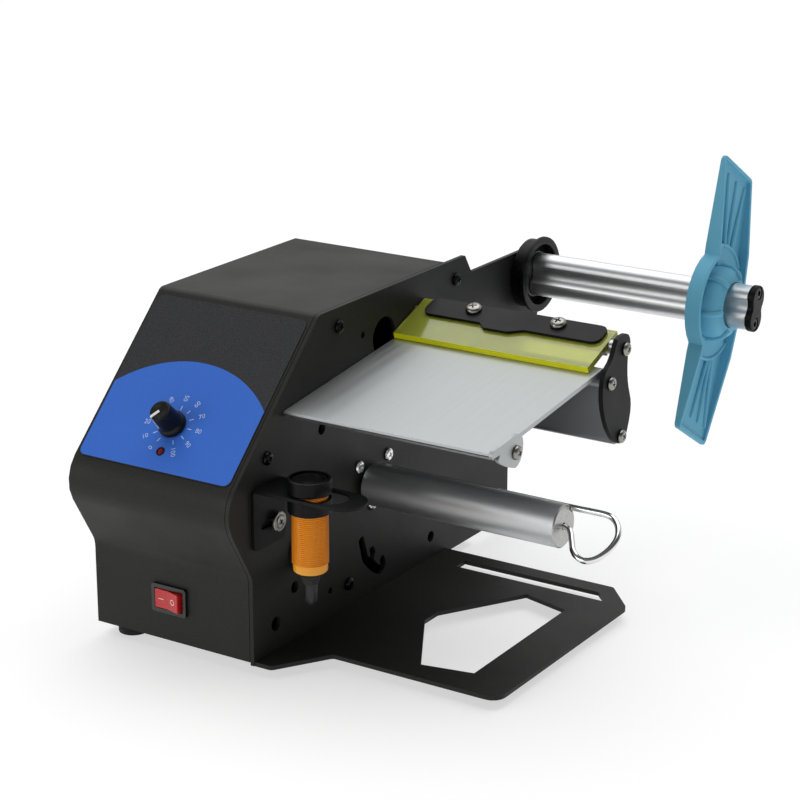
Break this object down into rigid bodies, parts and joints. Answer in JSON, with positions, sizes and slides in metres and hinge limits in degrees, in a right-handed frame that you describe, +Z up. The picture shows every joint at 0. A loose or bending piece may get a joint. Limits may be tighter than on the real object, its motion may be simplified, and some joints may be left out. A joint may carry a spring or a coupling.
{
  "type": "label dispenser machine",
  "caption": "Benchtop label dispenser with a slanted control housing, a peel plate with a lifting clear press, a driven take-up roller, a label sensor and a cantilevered roll shaft.",
  "frame": {"origin": "middle of the bounding box, on the surface that the feet stand on", "axes": "+X from the housing towards the free ends of the rollers and the roll shaft, -Y towards the operator, +Z up"},
  "size_m": [0.2422, 0.319, 0.2223],
  "materials": {
    "powder_coat": "fine textured powder coat",
    "black_plastic": "moulded, satin",
    "black_screw": "blackened steel",
    "rubber": "matte",
    "cable_jacket": "soft jacket",
    "overlay": "printed film",
    "knob": "moulded",
    "lamp": "clear red",
    "switch_red": "moulded",
    "board": "solder mask",
    "steel": "turned",
    "chrome": "bright",
    "aluminium": "drawn, bright",
    "grey_aluminium": "satin anodised",
    "plate_silver": "fine brushed",
    "brass": "sintered",
    "acrylic": "clear fluorescent",
    "sensor_orange": "moulded",
    "retainer_blue": "moulded"
  },
  "bodies": {
    "machine": {"side_frame": "powder_coat", "front_cover": "powder_coat", "left_panel": "powder_coat", "bottom_plate": "powder_coat", "control_board": "board", "foot_1": "rubber", "foot_2": "rubber", "foot_3": "rubber", "foot_4": "rubber", "cover_screw_1": "black_screw", "cover_screw_2": "black_screw", "cover_screw_3": "black_screw", "cover_screw_4": "black_screw", "left_screw_1": "black_screw", "left_screw_2": "black_screw", "panel_overlay": "overlay", "potentiometer": "steel", "indicator_lamp": "lamp", "switch_body": "black_plastic", "power_inlet": "black_plastic", "gearbox": "steel", "drive_motor": "steel", "motor_screw_1": "chrome", "motor_screw_2": "chrome", "motor_screw_3": "chrome", "peel_plate": "plate_silver", "front_tie_rod": "steel", "ear_screw": "chrome", "guide_profile": "grey_aluminium", "end_bracket": "powder_coat", "bracket_screw_top": "chrome", "bracket_screw_middle": "chrome", "bracket_screw_bottom": "chrome", "bracket_clamp_screw": "chrome", "cable_grommet": "rubber", "supply_collar": "black_plastic", "supply_bearing": "brass"},
    "knob": {"speed_knob": "knob", "potentiometer_shaft": "steel"},
    "rocker": {"switch_rocker": "switch_red"},
    "takeup": {"output_shaft": "steel", "takeup_roller": "grey_aluminium"},
    "clip": {"takeup_clip": "chrome"},
    "press": {"press_rod": "steel", "press_window": "acrylic", "press_strip": "powder_coat", "strip_screw_1": "chrome", "strip_screw_2": "chrome"},
    "sensor_carriage": {"sensor_bracket": "powder_coat", "sensor_cable": "cable_jacket"},
    "sensor": {"sensor_barrel": "sensor_orange", "sensor_nut_upper": "black_plastic", "sensor_nut_lower": "black_plastic"},
    "supply": {"supply_hub": "black_plastic", "supply_hub_nut": "steel", "supply_shaft": "aluminium", "shaft_end_cap": "black_plastic", "end_cap_screw_1": "black_screw", "end_cap_screw_2": "black_screw"},
    "retainer": {"roll_retainer": "retainer_blue"}
  },
  "joints": [
    {"name": "knob_turn", "type": "hinge", "parent": "machine", "child": "knob", "pos_m": [-0.0737, -0.13556, 0.11784], "axis": [0, -0.6951, 0.7189], "range_deg": [-294, 12]},
    {"name": "rocker_tilt", "type": "hinge", "parent": "machine", "child": "rocker", "pos_m": [-0.0741, -0.14146, 0.02915], "axis": [0, 0, 1], "range_deg": [0, 16]},
    {"name": "takeup_spin", "type": "hinge", "parent": "machine", "child": "takeup", "pos_m": [0, -0.04026, 0.0689], "axis": [1, 0, 0], "continuous": true},
    {"name": "clip_pull", "type": "slide", "parent": "takeup", "child": "clip", "axis": [1, 0, 0], "range_m": [0, 0.1]},
    {"name": "press_lift", "type": "hinge", "parent": "machine", "child": "press", "pos_m": [0, 0.00548, 0.14866], "axis": [-1, 0, 0], "range_deg": [0, 50]},
    {"name": "sensor_bracket_shift", "type": "slide", "parent": "machine", "child": "sensor_carriage", "axis": [0, 1, 0], "range_m": [-0.0022, 0.009]},
    {"name": "sensor_shift", "type": "slide", "parent": "sensor_carriage", "child": "sensor", "axis": [1, 0, 0], "range_m": [0, 0.0113], "deforming": ["sensor_cable"]},
    {"name": "supply_spin", "type": "hinge", "parent": "machine", "child": "supply", "pos_m": [0, 0.12044, 0.1444], "axis": [1, 0, 0], "continuous": true},
    {"name": "retainer_slide", "type": "slide", "parent": "supply", "child": "retainer", "axis": [1, 0, 0], "range_m": [-0.0992, 0.0093]}
  ]
}
